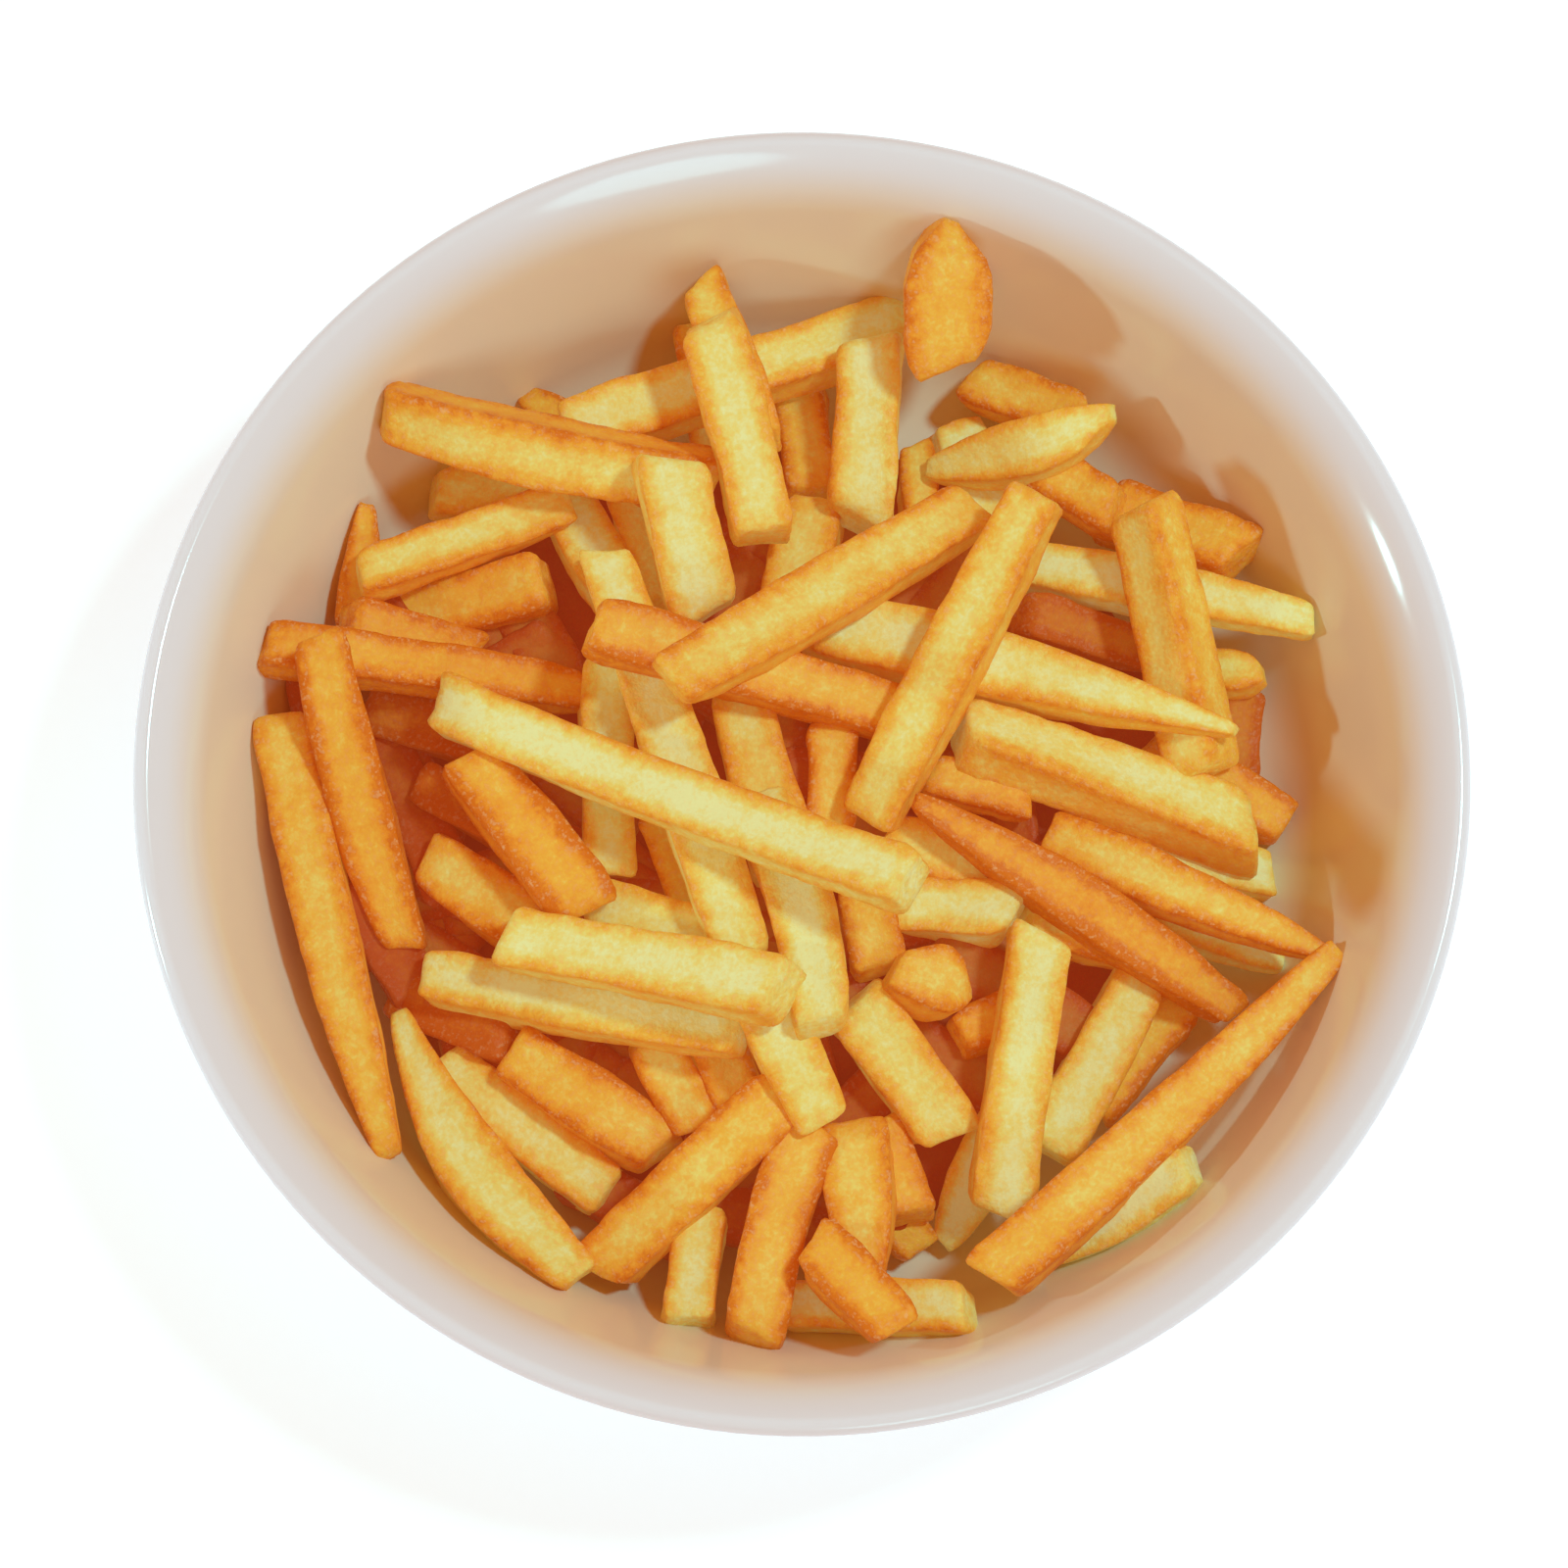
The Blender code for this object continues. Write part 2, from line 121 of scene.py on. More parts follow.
# The fries that show, from the lowest to the highest: their two ends, their width, how brown they are,
# how far they bow to the left of the way from the first end to the second, and how far they are rolled
# about their length, in degrees.
HEAP = [
    # In the gaps, on the mound. Their darkest tones are painted shade of the gaps.
    Fry("baton", -1.5, 63.5, 1, 44.5, 9, 0.50),
    Fry("baton", 17, 52.5, 17.5, 40.5, 6.5, 0.40),
    Fry("baton", 20, 42.5, 38, 45.5, 8.0, 0.15),
    Fry("baton", 33, 26.5, 53, 20.5, 8.0, 0.75),
    Fry("baton", -22, -5.5, -14, -25.5, 7.0, 0.50),
    Fry("baton", -66, 9.5, -46, 4.5, 9.0, 0.95),
    Fry("baton", -58, -1.5, -44, -8.5, 8.0, 0.95),
    Fry("baton", -60, -34.5, -42, -41.5, 9.0, 1.00),
    Fry("baton", -57.5, 43.4, -38, 45.9, 9, 0.35),
    Fry("baton", -27, 43.5, -22, 25.5, 8.0, 0.30),
    Fry("baton", 34, -21.5, 53, -25.5, 9.0, 0.30),
    Fry("baton", 24, -39.5, 39, -33.5, 8.5, 0.60),
    Fry("baton", 19, 0.5, 34, -3, 7.5, 0.55),
    Fry("baton", 66.5, 15.5, 65.5, 0.5, 8.0, 0.75),
    Fry("wedge", 58, 17.5, 70.5, 17.5, 8.5, 0.25),
    Fry("baton", 13, -63.5, 19, -71.5, 8.0, 0.50),
    # The lower fries.
    Fry("baton", 46, 42.5, 67, 35, 10.5, 0.55),
    Fry("wedge", -22, 44.5, -43.5, 60, 9, 0.55),
    Fry("baton", -17.5, 71, -14, 48.5, 8.5, 0.30),
    Fry("baton", -64, 23.5, -39.5, 30, 10.5, 0.55),
    Fry("wedge", -68.5, 20.5, -67.5, 41.2, 6.8, 0.60),
    Fry("baton", -70, 23.2, -50, 18, 9, 0.65),
    Fry("baton", -37.5, 43.5, -28, 27, 9.5, 0.15),
    Fry("baton", -30, 17.5, -28.5, -15.5, 9.0, 0.15),
    Fry("baton", -9.7, 12.5, -2.2, -14.5, 11, 0.30),
    Fry("baton", 4.5, 8.5, 4, -9.5, 8.5, 0.50),
    Fry("baton", -56.5, -13, -38, -25.5, 10.5, 0.45),
    Fry("baton", -31, -21, -13, -24.5, 9.5, 0.15),
    Fry("baton", -53, -44.5, -27.5, -64, 9.5, 0.22),
    Fry("baton", -23, -39.5, -14, -53.5, 9.0, 0.30),
    Fry("baton", -13, -37.5, -8, -50.5, 9.5, 0.40),
    Fry("baton", -13.5, -65.5, -15.5, -83, 8.5, 0.12),
    Fry("baton", -1, -80, 26.5, -80.5, 8.5, 0.12),
    Fry("wedge", 32, -51.5, 22, -70.5, 10.0, 0.00),
    Fry("spear", 36, -72.5, 59, -58, 10.5, 0.00),
    Fry("baton", 45, -49.5, 57, -35, 8.0, 0.50),
    Fry("baton", 52, -9.5, 71, -14, 8.0, 0.05),
    Fry("baton", 52, 5.5, 73.5, -6, 9.5, 0.65),
    Fry("wedge", 54, -19.5, 73, -27.5, 7.0, 0.10),
    Fry("baton", 13, -9.5, 35, -15.5, 9.0, 0.35),
    Fry("baton", 10, -14.5, 12.5, -29.5, 9.5, 0.45),
    Fry("baton", 12, -52.5, 17.5, -66.5, 8.5, 0.60),
    Fry("baton", 2, 42.5, -3, 25.5, 10.5, 0.35),
    # The middle fries.
    Fry("baton", -37.5, 54.5, 14, 71.5, 10.5, 0.15),
    Fry("baton", -17, 79, -7.5, 53.5, 8.5, 0.35),
    Fry("baton", -68.5, 30.3, -37, 42.7, 8.5, 0.25),
    Fry("blunt", -82.5, 18.2, -33, 12.7, 8.5, 0.65),
    Fry("wedge", -79.7, 8.2, -60.5, -58.5, 10.6, 0.48, -1.2),
    Fry("blunt", -74.3, 20.7, -58.9, -27.5, 10, 0.58, -1.0),
    Fry("baton", -31, 35, -8.2, -28.5, 10, 0.12),
    Fry("blunt", 31, 34.3, 77.5, 25.1, 8.3, 0.08),
    Fry("baton", 30, 53, 48, 42.5, 9.5, 0.50),
    Fry("baton", -42.2, -43, -19.5, -57.5, 11, 0.45),
    Fry("spear", -59.5, -37.5, -31.5, -76.5, 11.5, 0.20, -4.0),
    Fry("baton", -55.7, -31.9, -8, -39, 9.5, 0.12),
    Fry("baton", -6, -31.5, 3.5, -52, 10.5, 0.18),
    Fry("chunk", 14, -29.5, 26, -33, 10.0, 0.35),
    Fry("baton", 8.5, -34, 22.5, -54, 11.5, 0.18),
    Fry("baton", 15.5, -19.5, 33, -20.5, 9.5, 0.10),
    Fry("baton", 51.5, -29.5, 37.5, -56.5, 10.0, 0.15),
    Fry("baton", 24, 7.5, 68.7, -8, 11.5, 0.15, 0.0, -20.0),
    Fry("spike", 38, -8.7, 81, -26.2, 9, 0.48),
    # The upper fries.
    Fry("baton", -65.5, 56.5, -14.5, 47, 10.5, 0.32, -1.5, 30.0),
    Fry("baton", 25.5, 63.5, 43.5, 59, 8.5, 0.50),
    Fry("baton", 20, 52.6, 28.5, 57, 8.5, 0.10),
    Fry("sliver", 19, 49.2, 47, 58.7, 10.5, 0.20, -1.5),
    Fry("chunk", 22, 67.5, 22, 91, 14.0, 0.42),
    Fry("baton", 9.5, 68.7, 8, 40, 11, 0.12),
    Fry("baton", -21.5, 50.2, -15, 25, 12, 0.08),
    Fry("baton", -15.5, 73, -6.5, 38, 10.6, 0.20),
    Fry("baton", 52, 44.2, 61, 1.5, 10.5, 0.30, 0.0, 40.0),
    Fry("baton", -32.5, 23.2, 16, 9.5, 10, 0.52),
    Fry("baton", -44, -25.5, -2, -33, 10.5, 0.06),
    Fry("baton", -6, -3.5, 3.5, -38.5, 10.5, 0.10, 1.5),
    Fry("spike", 9, -54, 11.5, -79.5, 11.0, 0.38),
    Fry("baton", 3, -71, 15.5, -83.5, 9.5, 0.62),
    Fry("baton", 2.5, -52.5, -5.5, -85.5, 10.5, 0.52, -1.0),
    Fry("baton", -29, -75.5, -2.5, -49, 11.0, 0.40),
    Fry("wedge", 29.5, -75.5, 81, -25, 10.5, 0.52, -1.0),
    Fry("spear", 17, -3, 65.5, -35, 9.5, 0.68, 1.0),
    Fry("baton", 36.5, -23.5, 30.5, -66, 10.5, 0.15),
    # The topmost fries.
    Fry("spike", 0, 24.5, 66, 8.5, 11.0, 0.16),
    Fry("baton", -51, 2, -32, -21, 11.5, 0.55),
    Fry("baton", -20.5, 14.5, 25.5, 43, 10.5, 0.32),
    Fry("baton", 35.8, 45.5, 10.3, -6.5, 10, 0.28, 0.0, 15.0),
    Fry("baton", -55.5, 11, 17, -16, 10, 0.04, -0.8),
]

# The pieces that the fries are joined into, each with the darkest tone that it takes, and how much painted
# red shade of the gaps is mixed into its colour, for how deep in the heap its fries lie.
KINDS = (
    ("fries_pale", 0.25, 0.0),
    ("fries_golden", 0.5, 0.0),
    ("fries_browned", 0.7, 0.0),
    ("fries_in_painted_shade", 1.0, 0.5),
)

# Fries low on the left and in front, which show only through the heap's gaps, and how far they are pressed
# down; their dark tones are partly painted shade of the gaps. Then how much painted red shade of the gaps
# is mixed into the colour of those fries and of the core, for how deep they lie in the heap.
UNDER = [
    Fry("baton", -76, 17, -70, -7, 9.0, 0.85),
    Fry("baton", -72, -1, -64, -27, 9.0, 0.9),
    Fry("baton", -68, -17, -54, -39, 9.5, 0.85),
    Fry("baton", -64, 5, -52, -19, 9.5, 0.9),
    Fry("baton", -34, -61, -14, -71, 9.0, 0.8),
    Fry("baton", -68, 31, -56, 11, 9.0, 0.85),
    Fry("baton", -18, -65, 4, -69, 9.0, 0.8),
]
SINK = np.array([0.0, 0.0, 3.0])
UNDER_SHADE_SHARE = 0.75
CORE_SHADE_SHARE = 0.9
# The core's dark tone is painted shade of the gaps.
CORE_SHADED_TONE = 0.85

# The other hidden fries have their middles and their ends within these shares of the mound's radius, and
# their axes no lower than this.
MIDDLES_WITHIN = 0.86
ENDS_WITHIN = 0.92
LOWEST_AXIS = FLOOR_LEVEL + 5.5

# The core keeps this far from the bowl's floor and this far under the mound's top.
CORE_LIFT = 0.3
CORE_DROP = 3.0

# The share of the half width that is flat on the unit baton. The rest is rounded edge.
FLAT = 0.75

# The share of its solid's width at which a fry is drawn, which leaves room for its lumps.
SLIMNESS = 0.96

# The painted warm light, bounced from the fries, that tints the bowl's inside cream fades out between these
# radii.
PAINTED_BOUNCE_END = 88.0
WHITE_START = 96.0

# Where the camera looks, in metres.
AIM = (-0.0026, -0.0037, BOWL_HEIGHT * MM)


def arc(start, radius, first, last, steps):
    """(radius, level, slope) along an arc from start, which bends from one slope to another."""
    side = 1 if last > first else -1
    middle_r = start[0] - side * radius * math.sin(first)
    middle_z = start[1] + side * radius * math.cos(first)
    slopes = [first + (last - first) * i / steps for i in range(1, steps + 1)]
    return [
        (middle_r + side * radius * math.sin(slope), middle_z - side * radius * math.cos(slope), slope)
        for slope in slopes
    ]


def inner_profile(cove_steps=5, lip_steps=3):
    """(radius, level, slope) out over the bowl's floor, up its cove and wall, and over its flared lip."""
    lip_rise = LIP_RADIUS * (math.cos(LIP_SLOPE) - math.cos(WALL_SLOPE))
    lip_run = LIP_RADIUS * (math.sin(WALL_SLOPE) - math.sin(LIP_SLOPE))
    edge_rise = EDGE_THICKNESS / 2 * (1 - math.cos(LIP_SLOPE))
    edge_run = EDGE_THICKNESS / 2 * (1 + math.sin(LIP_SLOPE))
    cove_rise = COVE_RADIUS * (1 - math.cos(WALL_SLOPE))
    cove_run = COVE_RADIUS * math.sin(WALL_SLOPE)
    wall_rise = BOWL_HEIGHT - FLOOR_LEVEL - edge_rise - lip_rise - cove_rise
    wall_run = wall_rise / math.tan(WALL_SLOPE)
    floor_radius = RIM_RADIUS - edge_run - lip_run - wall_run - cove_run
    cove = arc((floor_radius, FLOOR_LEVEL), COVE_RADIUS, 0.0, WALL_SLOPE, cove_steps)
    wall_top = (cove[-1][0] + wall_run, cove[-1][1] + wall_rise)
    lip = arc(wall_top, LIP_RADIUS, WALL_SLOPE, LIP_SLOPE, lip_steps)
    floor = [(0.0, FLOOR_LEVEL, 0.0), (floor_radius, FLOOR_LEVEL, 0.0)]
    return [*floor, *cove, (*wall_top, WALL_SLOPE), *lip]


def bowl_profile():
    """(radius, level) round the bowl's whole section, from the middle of the floor to that of the foot."""
    inside = inner_profile(12, 8)
    lip_r, lip_z, slope = inside[-1]
    half = EDGE_THICKNESS / 2
    edge_r, edge_z = lip_r + half * math.sin(slope), lip_z - half * math.cos(slope)
    turns = [slope + math.pi / 2 - math.pi * i / 12 for i in range(1, 12)]
    edge = [(edge_r + half * math.cos(turn), edge_z + half * math.sin(turn)) for turn in turns]
    outside = []
    for radius, level, slope in reversed(inside[1:]):
        thickness = np.interp(level, [FLOOR_LEVEL, lip_z], [WALL_THICKNESS, EDGE_THICKNESS])
        outside.append((radius + thickness * math.sin(slope), level - thickness * math.cos(slope)))
    underside = FLOOR_LEVEL - WALL_THICKNESS
    foot = [
        (FOOT_RADIUS + FOOT_BEVEL, underside),
        (FOOT_RADIUS, FOOT_BEVEL),
        (FOOT_RADIUS - FOOT_BEVEL, 0.0),
        (FOOT_RADIUS - FOOT_WIDTH, 0.0),
        (FOOT_RADIUS - FOOT_WIDTH - FOOT_BEVEL, underside),
        (0.0, underside),
    ]
    return [(radius, level) for radius, level, _ in inside] + edge + outside + foot


def mound_level(spread):
    """The level of the hidden mound's top at a distance from its middle."""
    return FLOOR_LEVEL + MOUND_HEIGHT * (1 - np.minimum(spread / MOUND_RADIUS, 1.0) ** MOUND_POWER)


def fry_width(fry, share):
    """A fry's width at a share of its length, on a smooth curve drawn by the shares of its outline."""
    outline = OUTLINES[fry.kind]
    degree = len(outline) - 1
    return fry.width * sum(
        math.comb(degree, i) * share**i * (1 - share) ** (degree - i) * value
        for i, value in enumerate(outline)
    )


def sight_point(x, y, level):
    """The place at a level that shows at (x, y) on the sight level."""
    eye_y = -SIGHT_DISTANCE * math.sin(SIGHT_TILT)
    eye_level = BOWL_HEIGHT + SIGHT_DISTANCE * math.cos(SIGHT_TILT)
    share = (level - SIGHT_LEVEL) / (eye_level - SIGHT_LEVEL)
    return x - share * x, y + share * (eye_y - y)


def upper_hull(xs, ys):
    """The corners of a string pulled tight over the points, from the first to the last."""
    hull = []
    for x, y in zip(xs, ys):
        while len(hull) > 1:
            (x1, y1), (x2, y2) = hull[-2:]
            if (y2 - y1) * (x - x2) > (y - y2) * (x2 - x1):
                break
            hull.pop()
        hull.append((x, y))
    return hull


class Pile:
    """The tops of all that has been laid in the bowl so far, on a square grid a millimetre wide."""

    def __init__(self):
        self.reach = int(RIM_RADIUS) + 10
        axis = np.arange(-self.reach, self.reach + 1.0)
        self.x, self.y = np.meshgrid(axis, axis, indexing="ij")
        radii, levels, _ = zip(*inner_profile())
        spread = np.hypot(self.x - MOUND_X, self.y - MOUND_Y)
        self.tops = np.maximum(np.interp(np.hypot(self.x, self.y), radii, levels), mound_level(spread))

    def top(self, x, y):
        """The level of the pile's top at each place."""
        column = np.clip(np.rint(x).astype(int) + self.reach, 0, 2 * self.reach)
        row = np.clip(np.rint(y).astype(int) + self.reach, 0, 2 * self.reach)
        return self.tops[column, row]

    def resting_levels(self, fry, ends):
        """The levels of the axis at a fry's ends, once it lies on the pile on both sides of its middle."""
        shares = np.linspace(0.04, 0.96, 47)[:, None]
        offsets = np.linspace(-1.0, 1.0, 9)
        along = np.subtract(ends[1], ends[0])
        length = np.hypot(*along)
        half = fry_width(fry, shares) / 2
        side = offsets * half * CONTACT_WIDTH + 4.0 * fry.bow * shares * (1 - shares)
        x = ends[0][0] + shares * along[0] - side * along[1] / length
        y = ends[0][1] + shares * along[1] + side * along[0] / length
        swell = np.sqrt(1 - offsets**2) * half * THICKNESS_SHARE * CONTACT_DEPTH
        needed = (self.top(x, y) + swell).max(axis=1)
        hull = upper_hull(shares[:, 0], needed)
        (s1, l1), (s2, l2) = next(edge for edge in zip(hull, hull[1:]) if edge[1][0] >= 0.5)
        rise = np.clip((l2 - l1) / (s2 - s1), -STEEPEST * length, STEEPEST * length)
        foot = (needed - rise * shares[:, 0]).max()
        return foot, foot + rise

    def lay(self, fry):
        """Lay a fry on the pile and return the places of its two ends."""
        levels = (SIGHT_LEVEL, SIGHT_LEVEL)
        for _ in range(4):
            ends = sight_point(fry.x1, fry.y1, levels[0]), sight_point(fry.x2, fry.y2, levels[1])
            levels = self.resting_levels(fry, ends)
        start, end = (np.array([*place, level]) for place, level in zip(ends, levels))
        self.cover(fry, start, end)
        return start, end

    def cover(self, fry, start, end):
        """Raise the pile's tops to the back of a fry that lies from start to end."""
        along = (end - start)[:2]
        length = np.hypot(*along)
        share = ((self.x - start[0]) * along[0] + (self.y - start[1]) * along[1]) / length**2
        side = ((self.y - start[1]) * along[0] - (self.x - start[0]) * along[1]) / length
        side -= 4.0 * fry.bow * share * (1 - share)
        half = fry_width(fry, np.clip(share, 0.0, 1.0)) / 2
        hump = 1 - (side / (half * CONTACT_WIDTH)) ** 2
        level = start[2] + share * (end[2] - start[2])
        level += np.sqrt(np.maximum(hump, 0.0)) * half * THICKNESS_SHARE * CONTACT_DEPTH
        inside = (share > 0) & (share < 1) & (hump > 0)
        self.tops[inside] = np.maximum(self.tops[inside], level[inside])


class Link:
    """A shader node's output, on which Python's operators add Math nodes."""

    def __init__(self, shader, socket):
        self.shader = shader
        self.socket = socket

    def math(self, operation, *values):
        return self.shader.node("ShaderNodeMath", {"operation": operation}, *values)

    def __add__(self, other):
        return self.math("ADD", self, other)

    def __sub__(self, other):
        return self.math("SUBTRACT", self, other)

    def __rsub__(self, other):
        return self.math("SUBTRACT", other, self)

    def __mul__(self, other):
        return self.math("MULTIPLY", self, other)

    def __truediv__(self, other):
        return self.math("DIVIDE", self, other)

    def __pow__(self, other):
        return self.math("POWER", self, other)

    __radd__ = __add__
    __rmul__ = __mul__

    def clamped(self):
        return self.shader.node("ShaderNodeClamp", {}, self, 0.0, 1.0)


class Finish:
    """A material under construction, with one Principled shader."""

    def __init__(self, name, roughness, **constants):
        self.material = bpy.data.materials.new(name)
        self.material.use_nodes = True
        self.tree = self.material.node_tree
        self.surface = self.tree.nodes["Principled BSDF"]
        self.surface.inputs["Roughness"].default_value = roughness
        for socket, value in constants.items():
            self.surface.inputs[socket.replace("_", " ")].default_value = value

    def node(self, kind, settings, *values, output=0, **named):
        """Add a node: its settings first, then what its sockets hold, and return one of its outputs."""
        node = self.tree.nodes.new(kind)
        for setting, value in settings.items():
            if setting == "stops":
                self.set_stops(node.color_ramp, value)
            else:
                setattr(node, setting, value)
        for key, value in [*enumerate(values), *named.items()]:
            self.fill(node.inputs[key.replace("_", " ") if isinstance(key, str) else key], value)
        return Link(self, node.outputs[output])

    def fill(self, socket, value):
        """Give a socket a constant or the output of another node."""
        if isinstance(value, Link):
            self.tree.links.new(value.socket, socket)
        else:
            socket.default_value = value

    @staticmethod
    def set_stops(ramp, stops):
        for index, (place, colour) in enumerate(stops):
            stop = ramp.elements[index] if index < len(ramp.elements) else ramp.elements.new(place)
            stop.position = place
            stop.color = (*colour, 1.0)

    def attribute(self, name, output="Fac"):
        return self.node("ShaderNodeAttribute", {"attribute_name": name}, output=output)

    def mix(self, share, first, second):
        """A colour between two others."""
        node = self.tree.nodes.new("ShaderNodeMix")
        node.data_type = "RGBA"
        for name, value in (("Factor_Float", share), ("A_Color", first), ("B_Color", second)):
            self.fill(next(socket for socket in node.inputs if socket.identifier == name), value)
        return Link(self, next(socket for socket in node.outputs if socket.identifier == "Result_Color"))

    def grain(self, place, scale, detail=2.0, roughness=0.5):
        """Noise from 0 to 1 with features a given number of times a metre."""
        return self.node(
            "ShaderNodeTexNoise", {}, Vector=place, Scale=scale, Detail=detail, Roughness=roughness,
        )

    def set(self, socket, value):
        self.fill(self.surface.inputs[socket], value)


def glaze_finish(settings):
    """Glossy glaze, white on the lip and the outside, a touch uneven in gloss; in the bowl it is tinted
    cream by painted warm light bounced from the fries.
    """
    finish = Finish("bowl_glaze", settings.roughness, IOR=1.5)
    place = finish.node("ShaderNodeTexCoord", {}, output="Object")
    cloud = finish.grain(place, 30.0, 3.0)
    finish.set("Roughness", settings.roughness + (cloud - 0.5) * 0.06)
    # The cream inside is painted light: the warm light that the fries bounce onto the white glaze.
    painted_bounce = finish.attribute("inside") * (0.94 + cloud * 0.12)
    colour = finish.mix(painted_bounce.clamped(), (*settings.lip_colour, 1.0), (*settings.wall_bounce_colour, 1.0))
    finish.set("Base Color", colour)
    ripple = finish.grain(place, 90.0, 1.0)
    bump = finish.node("ShaderNodeBump", {}, Strength=0.08, Distance=0.0004, Height=ripple)
    finish.set("Normal", bump)
    return finish.material


def crust_finish(name, settings, depth=0.0):
    """Fried potato: pale on its faces, golden to brown along its edges, at its ends and in its blisters,
    with pale specks of painted highlight and an emission that paints a glow into its shade.

    The deeper it lies in the heap, the more painted red shade is mixed into its colour, for the red light
    that the fries round it give it, and the stronger its painted glow.
    """
    finish = Finish(name, settings.roughness, IOR=1.4, Specular_IOR_Level=0.15)
    place = finish.attribute("grain", "Vector")
    clouds = finish.grain(place, 90.0, 2.0, 0.5)
    mottle = finish.grain(place, 450.0, 3.0, 0.6)
    specks = finish.grain(place, 1300.0, 2.0, 0.6)
    edge = finish.attribute("edge")
    browning = finish.attribute("tone") - 0.08 + edge * (mottle * 0.4 + 0.08)
    browning = browning + (clouds - 0.5) * 0.45 + (mottle - 0.5) * 0.45 + (specks - 0.5) * 0.55
    stops = [
        (0.0, settings.pale_colour),
        (0.25, settings.yellow_colour),
        (0.5, settings.golden_colour),
        (0.78, settings.orange_colour),
        (1.0, settings.brown_colour),
    ]
    colour = finish.node("ShaderNodeValToRGB", {"stops": stops}, browning.clamped())
    # Painted highlights: pale specks, more along the edges, for glints on the oily crust.
    painted_glints = ((specks - 0.54) * 7.0).clamped() * (edge * 0.2 + 0.12)
    colour = finish.mix(painted_glints, colour, (*settings.painted_glint_colour, 1.0))
    # Painted shade: the deeper a fry lies, the more of the dark red gap shade is mixed into its colour.
    colour = finish.mix(depth, colour, (*settings.gap_shade_colour, 1.0))
    finish.set("Base Color", colour)
    # Painted glow: the emission lights the fries' own shade, as light seeping through them would, and more
    # so the deeper they lie.
    finish.set("Emission Color", colour)
    finish.set("Emission Strength", settings.painted_glow * (1 + depth))
    finish.set("Roughness", (settings.roughness + 0.12 - edge * 0.15 + (specks - 0.5) * 0.2).clamped())
    blisters = finish.grain(place, 420.0, 3.0, 0.65)
    height = blisters * (0.5 + edge * 0.9) + specks * 0.25
    bump = finish.node("ShaderNodeBump", {}, Strength=settings.relief, Distance=0.0006, Height=height)
    finish.set("Normal", bump)
    return finish.material


def add_piece(name, mesh, material, slot, *nodes):
    """Put a finished mesh in the scene as a piece that stands for some of the solids."""
    data = bpy.data.meshes.new(name)
    mesh.to_mesh(data)
    mesh.free()
    data.shade_smooth()
    data.materials.append(material)
    piece = bpy.data.objects.new(name, data)
    bpy.context.scene.collection.objects.link(piece)
    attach(piece, "root")
    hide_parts(*nodes)
    return piece


def turned_mesh(profile, segments):
    """The closed solid that a profile of (radius, level) sweeps round the Z axis."""
    mesh = bmesh.new()
    verts = [mesh.verts.new((radius * MM, 0.0, level * MM)) for radius, level in profile]
    edges = [mesh.edges.new(pair) for pair in zip(verts, verts[1:])]
    bmesh.ops.spin(
        mesh, geom=verts + edges, cent=(0, 0, 0), axis=(0, 0, 1), angle=2 * math.pi, steps=segments,
        use_merge=True,
    )
    bmesh.ops.remove_doubles(mesh, verts=mesh.verts, dist=1e-6)
    bmesh.ops.recalc_face_normals(mesh, faces=mesh.faces)
    return mesh


def unit_baton(cuts, across):
    """A rounded cube from -1 to 1, cut along its length, to be stretched into a fry."""
    mesh = bmesh.new()
    bmesh.ops.create_cube(mesh, size=2.0)
    bmesh.ops.bevel(
        mesh, geom=mesh.edges[:], offset=1 - FLAT, offset_type="OFFSET", segments=3, profile=0.5,
        affect="EDGES", material=-1,
    )
    for axis, count in enumerate((cuts, across, across)):
        along = [
            edge for edge in mesh.edges
            if abs(abs(edge.verts[0].co[axis] - edge.verts[1].co[axis]) - 2 * FLAT) < 0.01
        ]
        bmesh.ops.subdivide_edges(mesh, edges=along, cuts=count, use_grid_fill=True)
    return mesh


def smooth_step(low, high, values):
    share = np.clip((values - low) / (high - low), 0.0, 1.0)
    return share * share * (3 - 2 * share)


def wobble(places, scale, seed):
    """Smooth noise from -1 to 1 at each place, for features of a given size."""
    offset = Vector((seed * 7.31, seed * 3.17, seed * 5.73))
    return np.array([noise.noise(Vector(place) / scale + offset) for place in places])


